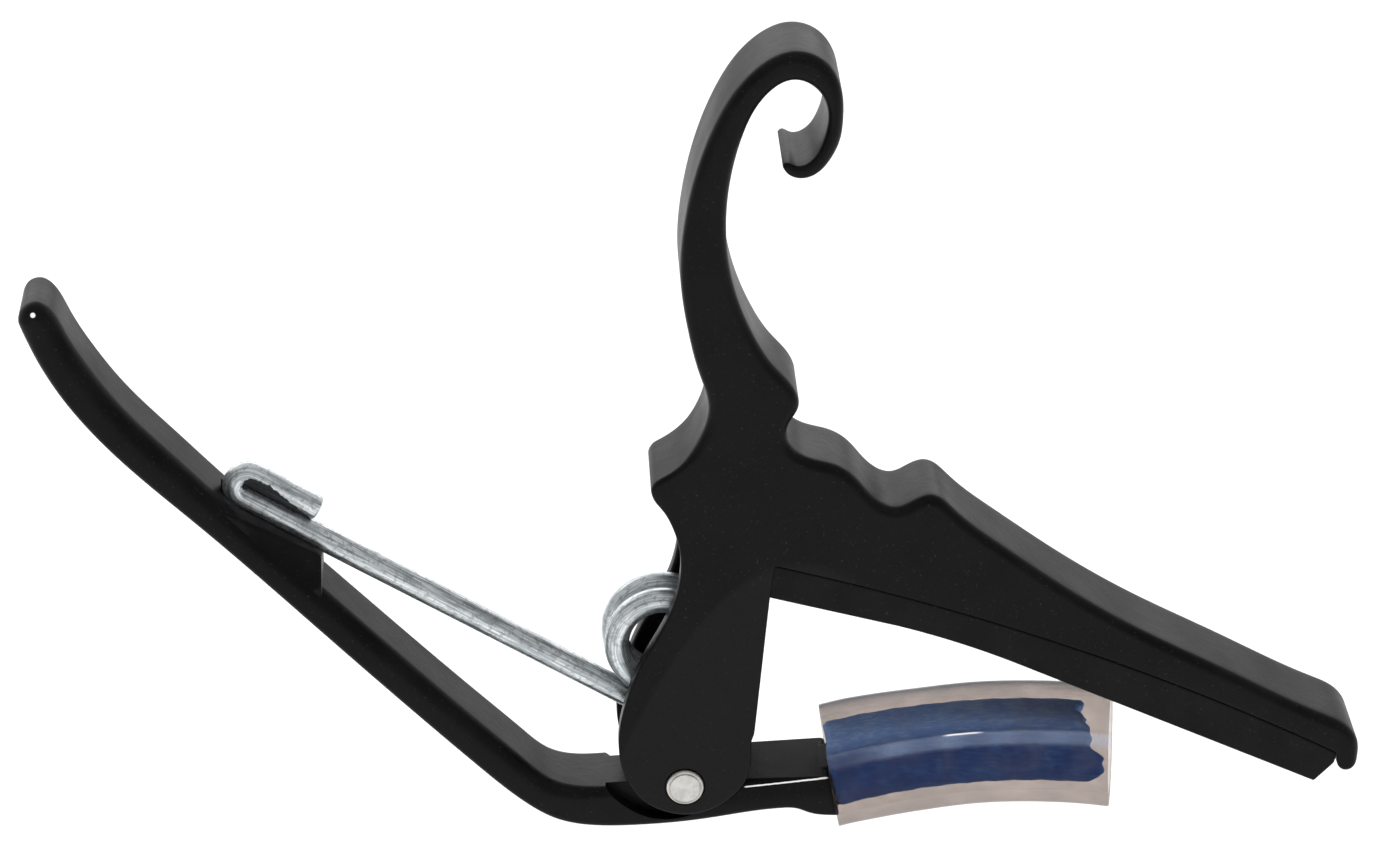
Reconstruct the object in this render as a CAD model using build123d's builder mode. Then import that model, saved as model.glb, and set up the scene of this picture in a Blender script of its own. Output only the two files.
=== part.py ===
"""Trigger guitar capo: a cast clamp body with a string pad, and a lever with a padded neck rest.

The lever turns on a pin between the two plates of the clamp's leg, and a torsion spring in that leg
holds the jaw closed. Millimetres, +Z up, X along the string pad, Y through the casting's thickness.
The origin is the middle of the string pad's flat face. The outlines are drawn about the pivot pin.
"""

import os
from math import cos, radians, sin

from build123d import *

# ---- driving dimensions ----
pin_position = (-45.6, -5.925)  # X and Z of the pivot pin from the string pad's face
body_width = 10.0  # clamp casting, along Y
slot_width = 6.0  # gap between the leg's plates
slot_top = 26.0  # where the gap ends inside the casting
web_thickness = 1.7  # wall that joins the plates on the jaw side
pin_radius = 1.75
pin_length = 10.6
pin_chamfer = 0.25
pad_width = 9.6
lever_width = 8.8
tongue_width = 5.7  # part of the lever between the plates
tongue_radius = 3.9
pin_clearance = 0.05  # running fit of the lever on the pin
plate_clearance = 0.2  # between the plates' edges and the lever's pockets
open_angle = 35.0  # how far the lever turns
pocket_step = 5.0  # spacing of the cuts that sweep the pockets
wire_diameter = 2.4
coil_centre = (-2.0, 13.7)
coil_radii = (4.35, 4.55)  # middle of the wire, front and rear turns
coil_end_angle = 968.0  # where the wire ends inside the casting, counted on from the leg
leg_offset = 7.0  # distance of the straight leg from the coil's centre
leg_angle = 30.7  # slope of the straight leg, degrees
hook_bend_centre = (-41.29, 30.16)
hook_bend_radius = 1.3
hook_stub = 7.1  # length of wire that returns above the leg
coil_layer = 1.6  # distance of the front and rear turns from the middle plane
coil_steps = 48  # spans between the points of the coil's centre line
leg_end_angle = 270.0 - leg_angle  # round the coil, where the straight leg meets it
coil_closing = (285.0, 435.0)  # angles between which the wire closes in from the leg to the coil
coil_to_front = (leg_end_angle, 310.0)
coil_to_rear = (600.0, 715.0)
ear_width = 7.8  # over both ears of the spring seat
seat_groove = 2.9
seat_clearance = 0.15
groove_length = 12.0  # past the spring seat's lower end
groove_height = 6.0  # past the top of the lever's handle
rest_radius = 65.0  # curve of the neck rest
rest_apex = (32.0, 1.85)
rest_start = 14.0  # X where the sleeve starts
rest_end = 41.0
liner_end = 39.5  # the liner and the core stop inside the sleeve
core_start = 12.0
core_end = 38.5
sleeve_outer = 5.9  # radii of the clear tube
sleeve_inner = 4.65
liner_size = (8.4, 6.2)
liner_corner = 1.8
core_size = (6.0, 3.8)
core_corner = 0.8
core_gap = 0.05  # between the core and the liner around it

# ---- outlines in the XZ plane ----
nub = (-3.2, 31.0)
leg_foot = (6.3, 4.6)
pad_corner = (8.4, 22.9)
lip_top = (62.3, 2.4)
lip_foot = (62.3, 1.3)
back_edge = [
    (8.9, 62.5), (10.8, 61.6), (13.3, 63.4), (14.4, 66.6), (14.2, 69.9), (12.6, 72.6), (10.1, 73.5),
    (6.7, 72.1), (2.9, 66.9), (0.9, 61.5), (-0.1, 56.6), (-0.4, 52.0), (0.3, 46.5), (1.4, 42.0),
    (2.2, 38.9), (1.4, 35.8), (-0.9, 32.6), nub,
]
leg_neck = [nub, (-2.6, 29.6), (-1.3, 27.3), (-0.5, 24.6), (-0.5, 21.4)]
leg_plate = [
    (-1.5, 17.9), (-3.8, 13.5), (-5.6, 8.9), (-6.3, 4.9), (-5.8, 1.4), (-4.3, -1.2), (-2.0, -2.65),
    (0.8, -3.0), (3.6, -1.9), (5.7, 0.3), (6.3, 2.6), leg_foot,
]
leg_jaw_side = [leg_foot, (6.6, 5.3), (8.0, 19.6), pad_corner]
bar_underside = (37.3, 13.7)
lip_round = (63.3, 0.5)
bar_edge = [
    (64.3, 1.5), (64.35, 3.2), (63.3, 4.95), (60.9, 6.3), (51.9, 10.9), (43.1, 15.5), (35.3, 20.4),
    (29.4, 24.7), (25.3, 28.1), (23.1, 29.7), (21.6, 29.3), (19.9, 28.5), (17.6, 29.6),
    (15.7, 31.8), (14.0, 32.9), (11.6, 33.6), (9.8, 35.0), (9.6, 36.9), (10.6, 38.8), (10.3, 40.3),
    (8.4, 42.7), (6.3, 46.1), (4.8, 49.9), (3.9, 54.6), (4.1, 60.6), (5.3, 65.5), (7.1, 69.5),
    (9.9, 71.1), (12.2, 70.0), (13.0, 67.5), (12.5, 64.7), (11.4, 63.0), (10.2, 62.6), (9.3, 63.1),
]
lever_top = [
    (-61.15, 48.2), (-60.6, 49.7), (-59.3, 50.15), (-58.1, 49.3), (-56.9, 46.9), (-54.7, 42.9),
    (-51.8, 38.9), (-47.9, 34.7), (-43.8, 30.4), (-34.0, 20.6), (-19.4, 6.3), (-15.2, 2.3),
    (-12.6, 0.2), (-9.4, -0.5), (-6.4, -0.4),
]
lever_bottom = [
    (13.3, -3.3), (9.6, -3.0), (1.5, -4.0), (-4.8, -4.5), (-9.2, -4.4), (-12.2, -3.7), (-15.2, -1.9),
    (-19.5, 1.9), (-33.7, 15.9), (-45.7, 27.8), (-53.5, 35.8), (-58.3, 42.2), (-61.15, 48.2),
]
tongue_end = (6.4, 0.25)
arm_shoulder = (13.3, 0.45)
seat_ears = [(-43.6, 29.9), (-42.9, 29.6), (-34.0, 24.8), (-34.0, 19.0), (-43.6, 28.6)]
slot_web = [(6.6 - web_thickness, 5.0), (8.0 - web_thickness, 19.6)]  # set in from the jaw side
slot_outline = [(-12.0, -6.0), (12.0, -6.0), (12.0, 5.0), *slot_web, (6.2, slot_top), (-12.0, slot_top)]
pad_tip = [lip_top, (62.1, 1.3), (60.2, -0.6)]
pad_flat_end = (31.0, 12.45)
pad_bend = (25.6, 14.6)
pad_bend_end = (20.0, 16.4)
pad_root = (8.3, 19.7)

# the side profile's plane, with its own origin on the pivot pin
profile = Plane(origin=(pin_position[0], 0, pin_position[1]), x_dir=(1, 0, 0), z_dir=(0, -1, 0))


def leg_direction():
    """Unit vector along the spring's straight leg, from its hook to its coil."""
    return cos(radians(leg_angle)), -sin(radians(leg_angle))


def beside(point, distance):
    """The point that lies this far to the upper right of the spring's leg direction."""
    dx, dz = leg_direction()
    return point[0] - dz * distance, point[1] + dx * distance


def along(point, distance):
    """The point moved along the spring's leg direction."""
    dx, dz = leg_direction()
    return point[0] + dx * distance, point[1] + dz * distance


def rest_point(x):
    """The point of the neck rest's curved centre line at this X."""
    across = x - rest_apex[0]
    return x, rest_apex[1] - rest_radius + (rest_radius**2 - across**2) ** 0.5


def rest_path(start, end):
    """The neck rest's centre line between two X positions."""
    middle = (start + end) / 2
    with BuildLine(profile) as path:
        ThreePointArc(rest_point(start), rest_point(middle), rest_point(end))
    return path.line


def across_path(path):
    """The plane square to a path in XZ at its start, its x along Y."""
    return Plane(origin=path @ 0, x_dir=(0, 1, 0), z_dir=path % 0)


def pocket_edge(angle):
    """The lower outline of the leg's plates, grown by the clearance and turned about the pin."""
    turn = radians(angle)
    grown = 1 + plate_clearance / tongue_radius
    return [
        (grown * (x * cos(turn) - z * sin(turn)), grown * (x * sin(turn) + z * cos(turn)))
        for x, z in leg_plate
    ]


# ---- clamp body: hook handle, string bar and the leg's two plates ----
with BuildPart() as clamp_body:
    with BuildSketch(profile):
        with BuildLine():
            Spline(*back_edge)
            Spline(*leg_neck, *leg_plate)
            Polyline(*leg_jaw_side)
            ThreePointArc(pad_corner, bar_underside, lip_top)
            Line(lip_top, lip_foot)
            ThreePointArc(lip_foot, lip_round, bar_edge[0])
            Spline(*bar_edge)
            Line(bar_edge[-1], back_edge[0])
        make_face()
    extrude(amount=body_width / 2, both=True)
    with BuildSketch(profile):
        with BuildLine():
            Polyline(*slot_outline, close=True)
        make_face()
    extrude(amount=slot_width / 2, both=True, mode=Mode.SUBTRACT)
    with BuildSketch(profile):
        Circle(pin_radius)
    extrude(amount=body_width, both=True, mode=Mode.SUBTRACT)

# ---- string pad: rubber strip let into the underside of the bar ----
with BuildPart() as string_pad:
    with BuildSketch(profile):
        with BuildLine():
            ThreePointArc(pad_corner, bar_underside, lip_top)
            Polyline(*pad_tip, pad_flat_end)
            ThreePointArc(pad_flat_end, pad_bend, pad_bend_end)
            Polyline(pad_bend_end, pad_root, pad_corner)
        make_face()
    extrude(amount=pad_width / 2, both=True)

# ---- pivot pin: riveted through both plates ----
with BuildPart() as pivot_pin:
    with BuildSketch(profile):
        Circle(pin_radius)
    extrude(amount=pin_length / 2, both=True)
    chamfer(pivot_pin.edges().filter_by(GeomType.CIRCLE), pin_chamfer)

# ---- lever: curved handle, spring seat, tongue and the arm inside the neck rest ----
with BuildPart() as lever:
    with BuildSketch(profile):
        with BuildLine():
            Spline(*lever_top)
            Polyline(lever_top[-1], tongue_end, arm_shoulder, lever_bottom[0])
            Spline(*lever_bottom)
        make_face()
    extrude(amount=lever_width / 2, both=True)
    for step in range(int(open_angle / pocket_step) + 1):
        edge = pocket_edge(step * pocket_step)
        with BuildSketch(profile.offset(tongue_width / 2), profile.offset(-lever_width / 2)):
            with BuildLine():
                Spline(*edge)
                Line(edge[-1], edge[0])
            make_face()
        extrude(amount=(lever_width - tongue_width) / 2, mode=Mode.SUBTRACT)
    with BuildSketch(profile):
        Circle(tongue_radius)
    extrude(amount=tongue_width / 2, both=True)
    with BuildSketch(profile):
        with BuildLine():
            Polyline(*seat_ears, close=True)
        make_face()
    extrude(amount=ear_width / 2, both=True)
    groove_radius = hook_bend_radius + wire_diameter / 2 + seat_clearance
    groove_far = along(hook_bend_centre, groove_length)
    with BuildSketch(profile):
        with BuildLine():
            Polyline(
                beside(hook_bend_centre, -groove_radius),
                beside(groove_far, -groove_radius),
                beside(groove_far, groove_height),
                beside(hook_bend_centre, groove_height),
                close=True,
            )
        make_face()
        with Locations(hook_bend_centre):
            Circle(groove_radius)
    extrude(amount=seat_groove / 2, both=True, mode=Mode.SUBTRACT)
    core_path = rest_path(core_start, core_end)
    with BuildSketch(across_path(core_path)):
        RectangleRounded(core_size[0], core_size[1], core_corner)
    sweep(path=core_path)
    with BuildSketch(profile):
        Circle(pin_radius + pin_clearance)
    extrude(amount=lever_width, both=True, mode=Mode.SUBTRACT)

# ---- neck rest: soft liner on the arm, clear tube over it ----
with BuildPart() as neck_liner:
    liner_path = rest_path(rest_start, liner_end)
    with BuildSketch(across_path(liner_path)):
        RectangleRounded(liner_size[0], liner_size[1], liner_corner)
        RectangleRounded(
            core_size[0] + 2 * core_gap, core_size[1] + 2 * core_gap, core_corner, mode=Mode.SUBTRACT
        )
    sweep(path=liner_path)

with BuildPart() as neck_sleeve:
    sleeve_path = rest_path(rest_start, rest_end)
    with BuildSketch(across_path(sleeve_path)):
        Circle(sleeve_outer)
        Circle(sleeve_inner, mode=Mode.SUBTRACT)
    sweep(path=sleeve_path)

# ---- torsion spring: hook, straight leg and two turns between the leg's plates ----


def eased(value, start, end):
    """0 before start, 1 after end, and smooth between them."""
    share = min(max((value - start) / (end - start), 0.0), 1.0)
    return share * share * (3 - 2 * share)


def coil_point(angle):
    """The wire's middle at this angle round the coil, on the profile's plane and its normal."""
    to_front = eased(angle, *coil_to_front)
    to_rear = eased(angle, *coil_to_rear)
    turn_radius = coil_radii[0] + (coil_radii[1] - coil_radii[0]) * to_rear
    radius = leg_offset - (leg_offset - turn_radius) * eased(angle, *coil_closing)
    out = coil_layer * (to_front - 2 * to_rear)
    turned = radians(angle)
    return coil_centre[0] + radius * cos(turned), coil_centre[1] + radius * sin(turned), out


with BuildPart() as spring:
    stub_start = beside(hook_bend_centre, hook_bend_radius)
    leg_start = beside(hook_bend_centre, -hook_bend_radius)
    bend_far = along(hook_bend_centre, -hook_bend_radius)
    angle_step = (coil_end_angle - leg_end_angle) / coil_steps
    coil_points = [coil_point(leg_end_angle + angle_step * step) for step in range(coil_steps + 1)]
    with BuildLine(profile) as wire_path:
        Line(along(stub_start, hook_stub), stub_start)
        ThreePointArc(stub_start, bend_far, leg_start)
        Line(leg_start, coil_points[0])
        Spline(*coil_points)
    wire_start = wire_path.line @ 0
    with BuildSketch(Plane(origin=wire_start, x_dir=(0, 1, 0), z_dir=wire_path.line % 0)):
        Circle(wire_diameter / 2)
    sweep(path=wire_path.line)

os.makedirs("parts", exist_ok=True)
pieces = {
    "clamp_body": clamp_body,
    "string_pad": string_pad,
    "pivot_pin": pivot_pin,
    "lever": lever,
    "neck_liner": neck_liner,
    "neck_sleeve": neck_sleeve,
    "spring": spring,
}
for name, piece in pieces.items():
    piece.part.label = name
    export_step(piece.part, f"parts/{name}.step")
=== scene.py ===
"""The looks of a trigger guitar capo: black castings, rubber pad, zinc wire and a sleeved neck rest.

Outlines are in millimetres, X and Z about the pivot pin, as the CAD draws them. Meshes are in metres.
"""

from math import cos, pi, radians, sin

import bmesh
import bpy
import numpy as np
from mathutils import Matrix, Vector
from mathutils.geometry import delaunay_2d_cdt


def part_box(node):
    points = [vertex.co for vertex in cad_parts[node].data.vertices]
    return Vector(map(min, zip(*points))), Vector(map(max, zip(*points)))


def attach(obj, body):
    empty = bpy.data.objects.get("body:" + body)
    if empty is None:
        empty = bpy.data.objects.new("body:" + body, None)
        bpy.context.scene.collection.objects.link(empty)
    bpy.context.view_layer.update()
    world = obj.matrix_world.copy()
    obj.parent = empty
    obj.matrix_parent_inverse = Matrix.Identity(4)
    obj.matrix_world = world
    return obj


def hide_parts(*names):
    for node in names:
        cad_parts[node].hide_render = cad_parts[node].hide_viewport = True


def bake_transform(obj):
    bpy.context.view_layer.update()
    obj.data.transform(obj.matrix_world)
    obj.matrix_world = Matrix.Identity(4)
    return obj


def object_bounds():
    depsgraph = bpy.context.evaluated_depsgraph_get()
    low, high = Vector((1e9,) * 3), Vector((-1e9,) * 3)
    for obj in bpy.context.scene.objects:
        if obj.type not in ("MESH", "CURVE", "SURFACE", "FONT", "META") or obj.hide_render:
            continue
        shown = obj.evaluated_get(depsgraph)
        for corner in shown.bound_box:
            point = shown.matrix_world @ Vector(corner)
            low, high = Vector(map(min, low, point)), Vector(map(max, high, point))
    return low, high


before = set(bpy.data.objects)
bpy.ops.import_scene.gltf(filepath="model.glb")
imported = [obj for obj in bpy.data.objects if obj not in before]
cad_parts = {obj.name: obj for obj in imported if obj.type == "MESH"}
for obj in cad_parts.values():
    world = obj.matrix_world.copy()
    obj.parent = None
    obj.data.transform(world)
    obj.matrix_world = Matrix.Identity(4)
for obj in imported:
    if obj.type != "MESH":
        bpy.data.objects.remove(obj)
cad_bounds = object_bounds()

# ---- driving dimensions, mm ----
MM = 0.001
pin_low, pin_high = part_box("pivot_pin")
PIN = np.array([(pin_low.x + pin_high.x) / 2, 0.0, (pin_low.z + pin_high.z) / 2])
spacing = 0.25  # between the points of an outline

# the clamp's casting, with the gap between its leg's two plates
body_half = 5.0
slot_half = 3.0
slot_top = 26.0
slot_foot = 5.0
slot_corner = 6.2  # X of the slot's top beside the bar
web_thickness = 1.7
plate_edge = 0.3  # rounding of the plates' inner edges
plate_fade = 4  # outline points over which that rounding fades out
wall_step = 0.6  # between the points of the slot's inner wall

# the pin and the pad
pin_radius = 1.75
pin_hole = 1.82
hole_chamfer = 0.14
pin_half = 5.3
pad_half = 4.8

# the lever
open_angle = 35
lever_half = 4.4
tongue_half = 2.85
tongue_radius = 3.9
plate_clearance = 0.2
pocket_angles = (130.0, 397.0, 3.0)  # first, last and step, about the pin
pocket_top = ((6.7, 12.0), (-9.2, 12.0))
neck_half = 3.6
core_size = (6.0, 2.8)
core_start = 12.0
core_end = 37.8

# the spring: a hook, a straight leg and a coil
wire_radius = 1.2
wire_sides = 32
wire_step = 0.3
wire_end = ((0.12, 0.06), (0.25, 0.2))  # how far past the wire's end, and how much thinner it is there
leg_angle = 30.7
leg_offset = 7.0  # from the coil's middle to the leg
coil_centre = (-2.0, 13.7)
coil_radii = (4.35, 4.55)  # of the front turn and of the rear turn
coil_layer = 1.6  # how far the turns lie before and behind the middle
# angles round the coil: where the leg ends, the closing onto the front turn, and the shifts in depth
leg_end_angle = 270.0 - leg_angle
coil_closing = (285.0, 435.0)
coil_to_front = (leg_end_angle, 310.0)
coil_to_rear = (600.0, 715.0)
coil_end = 968.0
hook_centre = (-40.77, 29.74)
hook_radius = 1.22
hook_stub = 6.6
# length along the wire, and how far round the inner side the hook's painted shade begins there (1 is
# innermost)
hook_shade = ((0.0, 0.8, 5.2, 7.0, 8.5, 10.0, 11.5), (0.75, 0.45, -0.35, -0.3, 0.35, 0.7, 1.1))

# the lever's seat for the hook: a groove between two ears
ear_half = 3.95
ear_slope = 0.155  # share of its width that an ear loses for each millimetre above the handle
ear_foot = (-34.0, 20.6)
seat_half = 1.45
seat_radius = hook_radius + wire_radius + 0.15
groove_length = 12.0
groove_height = 6.0

# the neck rest's curve, and the sleeve on it
rest_radius = 65.0
rest_apex = (32.0, 1.85)
rest_start = 14.1
rest_end = 41.05
sleeve_outer = 5.9
sleeve_inner = 4.65
sleeve_spare = 0.07  # keeps the waves inside the tube's outer radius
sleeve_lip = 0.06  # rounding of its cut ends
# its cut ends lean off square by these shares, fading out within this distance
start_lean = 0.11
end_lean = 0.13
end_yaw = 0.09
lean_reach = 4.9
# its lower side is tucked in at the start, and its upper side flares there
start_tuck = 0.14
tuck_end = 18.0
flare_rise = 0.3
flare_end = 26.0
# angles in degrees from its far side over its top: the fold, the pale strip of painted highlight and the
# crown's painted dark reflection
fold_angle = 144.0
fold_lines = (139.0, 149.0)  # closer points between these angles
strip_angles = (144.0, 146.0, 154.0, 160.0)
crown_angle = 62.0
crown_width = 24.0
glint = (24.6, 25.6, 27.6, 29.0)  # X where the fold's highlight fades in and out

# the liner inside the sleeve
liner_size = (8.4, 6.3)
liner_corner = 2.0
liner_lift = 0.2
liner_spare = 0.06
liner_end = 39.5
liner_cut = 1.3  # how far short of liner_end the cover stops beside its lobe
lobe_length = 2.2

# ---- outlines, mm about the pin ----
nub_top = (-2.75, 31.6)
nub_side = (-3.2, 30.8)
leg_foot = (6.3, 4.6)
pad_corner = (8.4, 22.9)
bar_underside = (37.3, 13.7)
lip_top = (62.3, 2.4)
lip_foot = (62.3, 1.3)
lip_round = (63.3, 0.5)
back_edge = [
    (8.8, 62.7), (9.35, 61.85), (10.7, 61.4), (12.2, 61.95), (13.4, 63.3), (14.15, 65.0),
    (14.4, 66.9), (14.2, 69.9), (12.6, 72.6), (10.1, 73.5), (6.7, 72.1), (2.9, 66.9),
    (0.9, 61.5), (-0.1, 56.6), (-0.4, 52.0), (0.3, 46.5), (1.4, 42.0), (2.2, 38.9),
    (1.4, 35.8), (-0.7, 32.9), nub_top,
]
leg_edge = [
    nub_side, (-2.95, 29.8), (-2.1, 28.65), (-1.15, 26.9), (-0.5, 24.6), (-0.5, 21.4), (-1.5, 17.9),
    (-3.8, 13.5), (-5.6, 8.9), (-6.3, 4.9), (-5.8, 1.4), (-4.3, -1.2), (-2.0, -2.65), (0.8, -3.0),
    (3.6, -1.9), (5.7, 0.3), (6.3, 2.6), leg_foot,
]
leg_jaw_side = [leg_foot, (6.6, 5.3), (8.0, 19.6), pad_corner]
curl_tip = (9.2, 62.8)
bar_edge = [
    (64.3, 1.5), (64.35, 3.2), (63.3, 4.95), (60.9, 6.3), (51.9, 10.9), (43.1, 15.5), (35.3, 20.4),
    (29.4, 24.7), (25.3, 28.1), (23.1, 29.7), (21.6, 29.3), (19.9, 28.5), (17.6, 29.6),
    (15.7, 31.8), (14.0, 32.9), (11.6, 33.6), (9.8, 35.0), (9.6, 36.9), (10.6, 38.8), (10.3, 40.3),
    (8.4, 42.7), (6.3, 46.1), (4.8, 49.9), (3.9, 54.6), (4.1, 60.6), (5.3, 65.5), (7.3, 69.2),
    (10.0, 70.75), (12.1, 69.7), (13.0, 67.5), (12.5, 64.7), (11.4, 63.0), (10.2, 62.6), (9.3, 63.1),
]
lever_tip = (-61.15, 48.0)
lever_top = [
    lever_tip, (-60.6, 49.35), (-59.3, 49.8), (-58.1, 49.0), (-56.9, 46.8), (-54.7, 42.9),
    (-51.8, 38.9), (-47.9, 34.7), (-43.8, 30.4), (-34.0, 20.6), (-19.4, 6.3), (-15.2, 2.3),
    (-12.6, 0.2), (-9.4, -0.5), (-6.4, -0.4),
]
lever_bottom = [
    (14.85, -3.7), (13.3, -3.65), (11.9, -3.4), (10.7, -2.95), (9.4, -2.9), (1.5, -4.0),
    (-4.8, -4.5), (-9.2, -4.4), (-12.2, -3.7), (-15.2, -1.9), (-19.5, 1.9), (-33.7, 15.9),
    (-45.7, 27.8), (-53.7, 35.7), (-57.0, 39.9), (-59.4, 43.9), lever_tip,
]
tongue_end = (6.4, 0.25)
arm_shoulder = (13.75, 0.5)
seat_ears = [(-43.6, 28.6), (-34.0, 19.0), (-34.0, 23.7), (-42.6, 28.75), (-43.6, 29.0)]
arm_neck = [(12.5, 0.1), (14.2, 0.4), (15.0, 0.3), (15.3, -3.0), (13.9, -3.2), (12.5, -3.0)]
pad_tip = [(62.1, 1.3), (60.2, -0.6)]
pad_flat_end = (31.0, 12.45)
pad_bend = (25.6, 14.6)
pad_bend_end = (20.0, 16.4)
pad_root = (7.85, 19.55)
pad_heel = (8.1, 22.9)

# ---- rounding of the castings' edges, mm; a table holds X, then the height or radius at each ----
handle_edge = 1.0
leg_edge_radius = 0.3
bed_edge = 0.22
corner_edge = 0.5
corner_reach = 3.6
bed_top = ((8.0, 37.3, 62.4, 63.0), (23.4, 14.4, 3.0, 1.0))  # just above the pad's bed
bar_middle = 0.55  # slope of a line that parts the bar's lower edges from its upper ones
lever_edges = ((-62, -57, -46, -14, -8, 5, 13.4), (1.3, 1.8, 1.9, 1.5, 1.0, 0.7, 0.3))
lever_lower_edges = ((-61.5, -57), (1.2, 0.6))


# ---- curves ----
def spline(points):
    """A natural cubic spline through the points, as a dense polyline."""
    p = np.array(points, float)
    chord = np.concatenate([[0.0], np.cumsum(np.linalg.norm(np.diff(p, axis=0), axis=1))])
    h = np.diff(chord)
    n = len(p)
    system = np.eye(n)
    right = np.zeros((n, 2))
    for i in range(1, n - 1):
        system[i, i - 1 : i + 2] = h[i - 1], 2 * (h[i - 1] + h[i]), h[i]
        right[i] = 6 * ((p[i + 1] - p[i]) / h[i] - (p[i] - p[i - 1]) / h[i - 1])
    bend = np.linalg.solve(system, right)
    out = []
    for i in range(n - 1):
        for t in np.linspace(0, h[i], 12, endpoint=False):
            s = h[i] - t
            cubic = (bend[i] * s**3 + bend[i + 1] * t**3) / (6 * h[i])
            line = (p[i] / h[i] - bend[i] * h[i] / 6) * s + (p[i + 1] / h[i] - bend[i + 1] * h[i] / 6) * t
            out.append(cubic + line)
    out.append(p[-1])
    return out


def arc(start, middle, end, steps=60):
    """Points of the circle through three points, from start to end."""
    (ax, ay), (bx, by), (cx, cy) = start, middle, end
    d = 2 * (ax * (by - cy) + bx * (cy - ay) + cx * (ay - by))
    a2, b2, c2 = ax**2 + ay**2, bx**2 + by**2, cx**2 + cy**2
    centre = np.array([
        (a2 * (by - cy) + b2 * (cy - ay) + c2 * (ay - by)) / d,
        (a2 * (cx - bx) + b2 * (ax - cx) + c2 * (bx - ax)) / d,
    ])
    angles = [np.arctan2(*(np.array(q) - centre)[::-1]) for q in (start, middle, end)]
    angles = np.unwrap(angles)
    radius = np.linalg.norm(np.array(start) - centre)
    turn = np.linspace(angles[0], angles[2], steps)
    return [centre + radius * np.array([np.cos(t), np.sin(t)]) for t in turn]


def softened(values, reach):
    """A closed row of values, blurred along the row by this many steps."""
    width = int(4 * reach) + 1
    steps = np.arange(-width, width + 1)
    weights = np.exp(-0.5 * (steps / reach) ** 2)
    weights /= weights.sum()
    return sum(w * np.roll(values, -s, axis=0) for w, s in zip(weights, steps))


def closed_outline(*stretches, corner=0.22):
    """The stretches joined into one even, anticlockwise loop whose corners are slightly round."""
    points = np.array([q for stretch in stretches for q in stretch], float)
    keep = np.linalg.norm(points - np.roll(points, 1, axis=0), axis=1) > 1e-6
    points = points[keep]
    loop = np.vstack([points, points[:1]])
    run = np.concatenate([[0.0], np.cumsum(np.linalg.norm(np.diff(loop, axis=0), axis=1))])
    count = int(run[-1] / spacing)
    at = np.arange(count) * run[-1] / count
    even = np.stack([np.interp(at, run, loop[:, k]) for k in (0, 1)], axis=1)
    x, z = even.T
    if (x * np.roll(z, -1) - np.roll(x, -1) * z).sum() < 0:
        even = even[::-1]
    return softened(even, corner / spacing)


def inward(outline):
    """Unit normals of a closed outline, pointing into it."""
    along = np.roll(outline, -1, axis=0) - np.roll(outline, 1, axis=0)
    along /= np.linalg.norm(along, axis=1)[:, None]
    return np.stack([-along[:, 1], along[:, 0]], axis=1)


def room(outline, normals):
    """How far each point can move inward before it meets another side."""
    reach = np.empty(len(outline))
    for i, (p, n) in enumerate(zip(outline, normals)):
        v = outline - p
        ahead = v @ n
        ok = ahead > 1e-5
        reach[i] = ((v[ok] ** 2).sum(1) / (2 * ahead[ok])).min() if ok.any() else np.inf
    return reach


# ---- meshes ----
class Shell:
    """Vertices in millimetres about the pin, and faces."""

    def __init__(self):
        self.points = []
        self.faces = []

    def add(self, flat, y):
        """Adds (x, z) points at y, which is one number or one for each, and returns their indices."""
        first = len(self.points)
        depth = np.broadcast_to(y, len(flat))
        self.points += [(x, d, z) for (x, z), d in zip(flat, depth)]
        return list(range(first, first + len(flat)))

    def strip(self, a, b, closed=True):
        """Quads between two rows of the same length."""
        n = len(a)
        for i in range(n if closed else n - 1):
            j = (i + 1) % n
            self.faces.append((a[i], a[j], b[j], b[i]))

    def skin(self, rows):
        """Quads between each row and the next."""
        for a, b in zip(rows, rows[1:]):
            self.strip(a, b)

    def fill(self, outer, hole=()):
        """Triangles inside a loop of indices and outside a hole's loop."""
        order = list(outer) + list(hole)
        flat = [Vector((self.points[i][0], self.points[i][2])) for i in order]
        n, m = len(outer), len(hole)
        edges = [(i, (i + 1) % n) for i in range(n)] + [(n + i, n + (i + 1) % m) for i in range(m)]
        result = delaunay_2d_cdt(flat, edges, [], 1, 1e-7)
        source = [same[0] for same in result[3]]
        for face in result[2]:
            corners = [source[i] for i in face]
            if m and all(c >= n for c in corners):
                continue
            self.faces.append(tuple(order[c] for c in corners))

    def mesh(self, name):
        data = bpy.data.meshes.new(name)
        co = np.array(self.points, float) * MM + PIN
        data.from_pydata(co.tolist(), [], self.faces)
        data.validate()
        return data


def link(name, data):
    piece = bpy.data.objects.new(name, data)
    bpy.context.scene.collection.objects.link(piece)
    return piece


def tidy(piece, angle=38):
    """Faces turned outward, smooth shading with creases past the angle, flat faces kept flat."""
    work = bmesh.new()
    work.from_mesh(piece.data)
    bmesh.ops.remove_doubles(work, verts=work.verts, dist=1e-7)
    bmesh.ops.recalc_face_normals(work, faces=work.faces)
    work.to_mesh(piece.data)
    work.free()
    piece.data.shade_smooth()
    piece.data.set_sharp_from_angle(angle=radians(angle))
    weighted = piece.modifiers.new("flat_faces", "WEIGHTED_NORMAL")
    weighted.keep_sharp = True
    weighted.weight = 80
    return piece


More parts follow.
